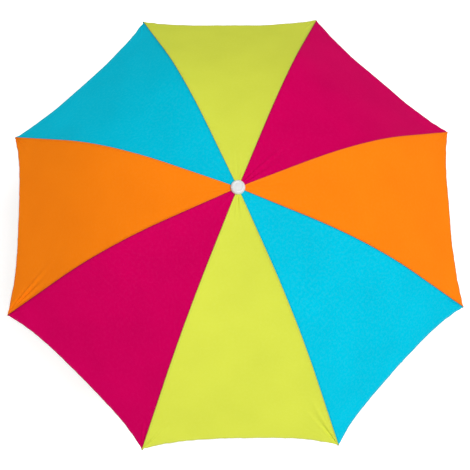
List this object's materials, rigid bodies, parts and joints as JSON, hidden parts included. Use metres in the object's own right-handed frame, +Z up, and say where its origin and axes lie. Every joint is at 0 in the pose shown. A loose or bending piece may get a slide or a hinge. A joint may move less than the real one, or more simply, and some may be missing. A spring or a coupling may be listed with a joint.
{
  "type": "beach umbrella",
  "caption": "Beach umbrella with a wide multi-coloured panelled canopy on a folding rib frame, a round white top cap and a tilting, height-adjustable pole with a ground spike",
  "frame": {"origin": "middle of the ground spike's small end face, straight under the crown", "axes": "+Z up along the pole, +X through the middle of an orange panel, the tilt axis along +Y"},
  "size_m": [1.4818, 1.4818, 1.9501],
  "materials": {
    "orange_cloth": "woven polyester, satin",
    "magenta_cloth": "woven polyester, satin",
    "lime_cloth": "woven polyester, satin",
    "turquoise_cloth": "woven polyester, satin",
    "white_plastic": "moulded, glossy white",
    "dark_plastic": "moulded, dark grey",
    "white_steel": "powder-coated white",
    "bare_steel": "bright drawn steel"
  },
  "bodies": {
    "lower_pole": {"lower_pole": "white_steel", "ground_spike": "white_plastic", "clamp_collar": "white_plastic"},
    "clamp_screw": {"clamp_screw": "white_plastic"},
    "middle_tube": {"middle_tube": "white_steel", "tilt_clevis": "white_plastic", "tilt_pin": "bare_steel"},
    "tilt_button": {"tilt_button": "dark_plastic"},
    "upper_pole": {"upper_pole": "white_steel", "tilt_knuckle": "white_plastic", "crown_hub": "white_plastic", "crown_ring": "bare_steel", "top_cap": "white_plastic"},
    "runner_latch": {"runner_latch": "bare_steel"},
    "runner": {"runner": "white_plastic", "runner_ring": "bare_steel"},
    "rib_1": {"rib_1": "white_steel", "rib_tip_1": "dark_plastic"},
    "stretcher_1": {"stretcher_1": "white_steel"},
    "canopy_panel_1b": {"canopy_panel_1b": "orange_cloth"},
    "canopy_panel_2a": {"canopy_panel_2a": "magenta_cloth"},
    "rib_2": {"rib_2": "white_steel", "rib_tip_2": "dark_plastic"},
    "stretcher_2": {"stretcher_2": "white_steel"},
    "canopy_panel_2b": {"canopy_panel_2b": "magenta_cloth"},
    "canopy_panel_3a": {"canopy_panel_3a": "lime_cloth"},
    "rib_3": {"rib_3": "white_steel", "rib_tip_3": "dark_plastic"},
    "stretcher_3": {"stretcher_3": "white_steel"},
    "canopy_panel_3b": {"canopy_panel_3b": "lime_cloth"},
    "canopy_panel_4a": {"canopy_panel_4a": "turquoise_cloth"},
    "rib_4": {"rib_4": "white_steel", "rib_tip_4": "dark_plastic"},
    "stretcher_4": {"stretcher_4": "white_steel"},
    "canopy_panel_4b": {"canopy_panel_4b": "turquoise_cloth"},
    "canopy_panel_5a": {"canopy_panel_5a": "orange_cloth"},
    "rib_5": {"rib_5": "white_steel", "rib_tip_5": "dark_plastic"},
    "stretcher_5": {"stretcher_5": "white_steel"},
    "canopy_panel_5b": {"canopy_panel_5b": "orange_cloth"},
    "canopy_panel_6a": {"canopy_panel_6a": "magenta_cloth"},
    "rib_6": {"rib_6": "white_steel", "rib_tip_6": "dark_plastic"},
    "stretcher_6": {"stretcher_6": "white_steel"},
    "canopy_panel_6b": {"canopy_panel_6b": "magenta_cloth"},
    "canopy_panel_7a": {"canopy_panel_7a": "lime_cloth"},
    "rib_7": {"rib_7": "white_steel", "rib_tip_7": "dark_plastic"},
    "stretcher_7": {"stretcher_7": "white_steel"},
    "canopy_panel_7b": {"canopy_panel_7b": "lime_cloth"},
    "canopy_panel_8a": {"canopy_panel_8a": "turquoise_cloth"},
    "rib_8": {"rib_8": "white_steel", "rib_tip_8": "dark_plastic"},
    "stretcher_8": {"stretcher_8": "white_steel"},
    "canopy_panel_8b": {"canopy_panel_8b": "turquoise_cloth"},
    "canopy_panel_1a": {"canopy_panel_1a": "orange_cloth"}
  },
  "joints": [
    {"name": "height_slide", "type": "slide", "parent": "lower_pole", "child": "middle_tube", "axis": [0, 0, 1], "range_m": [-0.2, 0.1]},
    {"name": "clamp_screw_turn", "type": "hinge", "parent": "lower_pole", "child": "clamp_screw", "pos_m": [0, -0.0335, 0.642], "axis": [0, -1, 0], "range_deg": [0, 180]},
    {"name": "canopy_tilt", "type": "hinge", "parent": "middle_tube", "child": "upper_pole", "pos_m": [0, 0, 0.93], "axis": [0, 1, 0], "range_deg": [0, 40]},
    {"name": "tilt_button_press", "type": "slide", "parent": "middle_tube", "child": "tilt_button", "axis": [0, 1, 0], "range_m": [0, 0.003], "stiffness_N_per_m": 600},
    {"name": "latch_press", "type": "slide", "parent": "upper_pole", "child": "runner_latch", "axis": [-1, 0, 0], "range_m": [0, 0.0043], "stiffness_N_per_m": 500},
    {"name": "runner_slide", "type": "slide", "parent": "upper_pole", "child": "runner", "axis": [0, 0, -1], "range_m": [0, 0.603], "deforming": ["canopy_panel_1a", "canopy_panel_1b", "canopy_panel_2a", "canopy_panel_2b", "canopy_panel_3a", "canopy_panel_3b", "canopy_panel_4a", "canopy_panel_4b", "canopy_panel_5a", "canopy_panel_5b", "canopy_panel_6a", "canopy_panel_6b", "canopy_panel_7a", "canopy_panel_7b", "canopy_panel_8a", "canopy_panel_8b", "runner_latch"]},
    {"name": "rib_1_swing", "type": "hinge", "parent": "upper_pole", "child": "rib_1", "pos_m": [0.01894, 0.00784, 1.93177], "axis": [-0.3827, 0.9239, 0], "range_deg": [0, 64.75]},
    {"name": "stretcher_1_swing", "type": "hinge", "parent": "runner", "child": "stretcher_1", "pos_m": [0.01846, 0.00764, 1.665], "axis": [-0.3827, 0.9239, 0], "range_deg": [-62.98, 0]},
    {"name": "panel_1b_fold", "type": "hinge", "parent": "rib_1", "child": "canopy_panel_1b", "pos_m": [0.01894, 0.00784, 1.93177], "axis": [0.8485, 0.3515, -0.3956], "range_deg": [-64.2, 0]},
    {"name": "panel_2a_fold", "type": "hinge", "parent": "rib_1", "child": "canopy_panel_2a", "pos_m": [0.01894, 0.00784, 1.93177], "axis": [0.8485, 0.3515, -0.3956], "range_deg": [0, 64.2]},
    {"name": "rib_2_swing", "type": "hinge", "parent": "upper_pole", "child": "rib_2", "pos_m": [0.00784, 0.01894, 1.93177], "axis": [-0.9239, 0.3827, 0], "range_deg": [0, 64.75]},
    {"name": "stretcher_2_swing", "type": "hinge", "parent": "runner", "child": "stretcher_2", "pos_m": [0.00764, 0.01846, 1.665], "axis": [-0.9239, 0.3827, 0], "range_deg": [-62.98, 0]},
    {"name": "panel_2b_fold", "type": "hinge", "parent": "rib_2", "child": "canopy_panel_2b", "pos_m": [0.00784, 0.01894, 1.93177], "axis": [0.3515, 0.8485, -0.3956], "range_deg": [-64.2, 0]},
    {"name": "panel_3a_fold", "type": "hinge", "parent": "rib_2", "child": "canopy_panel_3a", "pos_m": [0.00784, 0.01894, 1.93177], "axis": [0.3515, 0.8485, -0.3956], "range_deg": [0, 64.2]},
    {"name": "rib_3_swing", "type": "hinge", "parent": "upper_pole", "child": "rib_3", "pos_m": [-0.00784, 0.01894, 1.93177], "axis": [-0.9239, -0.3827, 0], "range_deg": [0, 64.75]},
    {"name": "stretcher_3_swing", "type": "hinge", "parent": "runner", "child": "stretcher_3", "pos_m": [-0.00764, 0.01846, 1.665], "axis": [-0.9239, -0.3827, 0], "range_deg": [-62.98, 0]},
    {"name": "panel_3b_fold", "type": "hinge", "parent": "rib_3", "child": "canopy_panel_3b", "pos_m": [-0.00784, 0.01894, 1.93177], "axis": [-0.3515, 0.8485, -0.3956], "range_deg": [-64.2, 0]},
    {"name": "panel_4a_fold", "type": "hinge", "parent": "rib_3", "child": "canopy_panel_4a", "pos_m": [-0.00784, 0.01894, 1.93177], "axis": [-0.3515, 0.8485, -0.3956], "range_deg": [0, 64.2]},
    {"name": "rib_4_swing", "type": "hinge", "parent": "upper_pole", "child": "rib_4", "pos_m": [-0.01894, 0.00784, 1.93177], "axis": [-0.3827, -0.9239, 0], "range_deg": [0, 64.75]},
    {"name": "stretcher_4_swing", "type": "hinge", "parent": "runner", "child": "stretcher_4", "pos_m": [-0.01846, 0.00764, 1.665], "axis": [-0.3827, -0.9239, 0], "range_deg": [-62.98, 0]},
    {"name": "panel_4b_fold", "type": "hinge", "parent": "rib_4", "child": "canopy_panel_4b", "pos_m": [-0.01894, 0.00784, 1.93177], "axis": [-0.8485, 0.3515, -0.3956], "range_deg": [-64.2, 0]},
    {"name": "panel_5a_fold", "type": "hinge", "parent": "rib_4", "child": "canopy_panel_5a", "pos_m": [-0.01894, 0.00784, 1.93177], "axis": [-0.8485, 0.3515, -0.3956], "range_deg": [0, 64.2]},
    {"name": "rib_5_swing", "type": "hinge", "parent": "upper_pole", "child": "rib_5", "pos_m": [-0.01894, -0.00784, 1.93177], "axis": [0.3827, -0.9239, 0], "range_deg": [0, 64.75]},
    {"name": "stretcher_5_swing", "type": "hinge", "parent": "runner", "child": "stretcher_5", "pos_m": [-0.01846, -0.00764, 1.665], "axis": [0.3827, -0.9239, 0], "range_deg": [-62.98, 0]},
    {"name": "panel_5b_fold", "type": "hinge", "parent": "rib_5", "child": "canopy_panel_5b", "pos_m": [-0.01894, -0.00784, 1.93177], "axis": [-0.8485, -0.3515, -0.3956], "range_deg": [-64.2, 0]},
    {"name": "panel_6a_fold", "type": "hinge", "parent": "rib_5", "child": "canopy_panel_6a", "pos_m": [-0.01894, -0.00784, 1.93177], "axis": [-0.8485, -0.3515, -0.3956], "range_deg": [0, 64.2]},
    {"name": "rib_6_swing", "type": "hinge", "parent": "upper_pole", "child": "rib_6", "pos_m": [-0.00784, -0.01894, 1.93177], "axis": [0.9239, -0.3827, 0], "range_deg": [0, 64.75]},
    {"name": "stretcher_6_swing", "type": "hinge", "parent": "runner", "child": "stretcher_6", "pos_m": [-0.00764, -0.01846, 1.665], "axis": [0.9239, -0.3827, 0], "range_deg": [-62.98, 0]},
    {"name": "panel_6b_fold", "type": "hinge", "parent": "rib_6", "child": "canopy_panel_6b", "pos_m": [-0.00784, -0.01894, 1.93177], "axis": [-0.3515, -0.8485, -0.3956], "range_deg": [-64.2, 0]},
    {"name": "panel_7a_fold", "type": "hinge", "parent": "rib_6", "child": "canopy_panel_7a", "pos_m": [-0.00784, -0.01894, 1.93177], "axis": [-0.3515, -0.8485, -0.3956], "range_deg": [0, 64.2]},
    {"name": "rib_7_swing", "type": "hinge", "parent": "upper_pole", "child": "rib_7", "pos_m": [0.00784, -0.01894, 1.93177], "axis": [0.9239, 0.3827, 0], "range_deg": [0, 64.75]},
    {"name": "stretcher_7_swing", "type": "hinge", "parent": "runner", "child": "stretcher_7", "pos_m": [0.00764, -0.01846, 1.665], "axis": [0.9239, 0.3827, 0], "range_deg": [-62.98, 0]},
    {"name": "panel_7b_fold", "type": "hinge", "parent": "rib_7", "child": "canopy_panel_7b", "pos_m": [0.00784, -0.01894, 1.93177], "axis": [0.3515, -0.8485, -0.3956], "range_deg": [-64.2, 0]},
    {"name": "panel_8a_fold", "type": "hinge", "parent": "rib_7", "child": "canopy_panel_8a", "pos_m": [0.00784, -0.01894, 1.93177], "axis": [0.3515, -0.8485, -0.3956], "range_deg": [0, 64.2]},
    {"name": "rib_8_swing", "type": "hinge", "parent": "upper_pole", "child": "rib_8", "pos_m": [0.01894, -0.00784, 1.93177], "axis": [0.3827, 0.9239, 0], "range_deg": [0, 64.75]},
    {"name": "stretcher_8_swing", "type": "hinge", "parent": "runner", "child": "stretcher_8", "pos_m": [0.01846, -0.00764, 1.665], "axis": [0.3827, 0.9239, 0], "range_deg": [-62.98, 0]},
    {"name": "panel_8b_fold", "type": "hinge", "parent": "rib_8", "child": "canopy_panel_8b", "pos_m": [0.01894, -0.00784, 1.93177], "axis": [0.8485, -0.3515, -0.3956], "range_deg": [-64.2, 0]},
    {"name": "panel_1a_fold", "type": "hinge", "parent": "rib_8", "child": "canopy_panel_1a", "pos_m": [0.01894, -0.00784, 1.93177], "axis": [0.8485, -0.3515, -0.3956], "range_deg": [0, 64.2]}
  ],
  "couplings": [
    {"joint": "rib_1_swing", "follows": "runner_slide", "rad_per_m": 1.8726},
    {"joint": "stretcher_1_swing", "follows": "runner_slide", "rad_per_m": -1.8214},
    {"joint": "panel_1b_fold", "follows": "runner_slide", "rad_per_m": -1.8568},
    {"joint": "panel_2a_fold", "follows": "runner_slide", "rad_per_m": 1.8568},
    {"joint": "rib_2_swing", "follows": "runner_slide", "rad_per_m": 1.8726},
    {"joint": "stretcher_2_swing", "follows": "runner_slide", "rad_per_m": -1.8214},
    {"joint": "panel_2b_fold", "follows": "runner_slide", "rad_per_m": -1.8568},
    {"joint": "panel_3a_fold", "follows": "runner_slide", "rad_per_m": 1.8568},
    {"joint": "rib_3_swing", "follows": "runner_slide", "rad_per_m": 1.8726},
    {"joint": "stretcher_3_swing", "follows": "runner_slide", "rad_per_m": -1.8214},
    {"joint": "panel_3b_fold", "follows": "runner_slide", "rad_per_m": -1.8568},
    {"joint": "panel_4a_fold", "follows": "runner_slide", "rad_per_m": 1.8568},
    {"joint": "rib_4_swing", "follows": "runner_slide", "rad_per_m": 1.8726},
    {"joint": "stretcher_4_swing", "follows": "runner_slide", "rad_per_m": -1.8214},
    {"joint": "panel_4b_fold", "follows": "runner_slide", "rad_per_m": -1.8568},
    {"joint": "panel_5a_fold", "follows": "runner_slide", "rad_per_m": 1.8568},
    {"joint": "rib_5_swing", "follows": "runner_slide", "rad_per_m": 1.8726},
    {"joint": "stretcher_5_swing", "follows": "runner_slide", "rad_per_m": -1.8214},
    {"joint": "panel_5b_fold", "follows": "runner_slide", "rad_per_m": -1.8568},
    {"joint": "panel_6a_fold", "follows": "runner_slide", "rad_per_m": 1.8568},
    {"joint": "rib_6_swing", "follows": "runner_slide", "rad_per_m": 1.8726},
    {"joint": "stretcher_6_swing", "follows": "runner_slide", "rad_per_m": -1.8214},
    {"joint": "panel_6b_fold", "follows": "runner_slide", "rad_per_m": -1.8568},
    {"joint": "panel_7a_fold", "follows": "runner_slide", "rad_per_m": 1.8568},
    {"joint": "rib_7_swing", "follows": "runner_slide", "rad_per_m": 1.8726},
    {"joint": "stretcher_7_swing", "follows": "runner_slide", "rad_per_m": -1.8214},
    {"joint": "panel_7b_fold", "follows": "runner_slide", "rad_per_m": -1.8568},
    {"joint": "panel_8a_fold", "follows": "runner_slide", "rad_per_m": 1.8568},
    {"joint": "rib_8_swing", "follows": "runner_slide", "rad_per_m": 1.8726},
    {"joint": "stretcher_8_swing", "follows": "runner_slide", "rad_per_m": -1.8214},
    {"joint": "panel_8b_fold", "follows": "runner_slide", "rad_per_m": -1.8568},
    {"joint": "panel_1a_fold", "follows": "runner_slide", "rad_per_m": 1.8568}
  ]
}
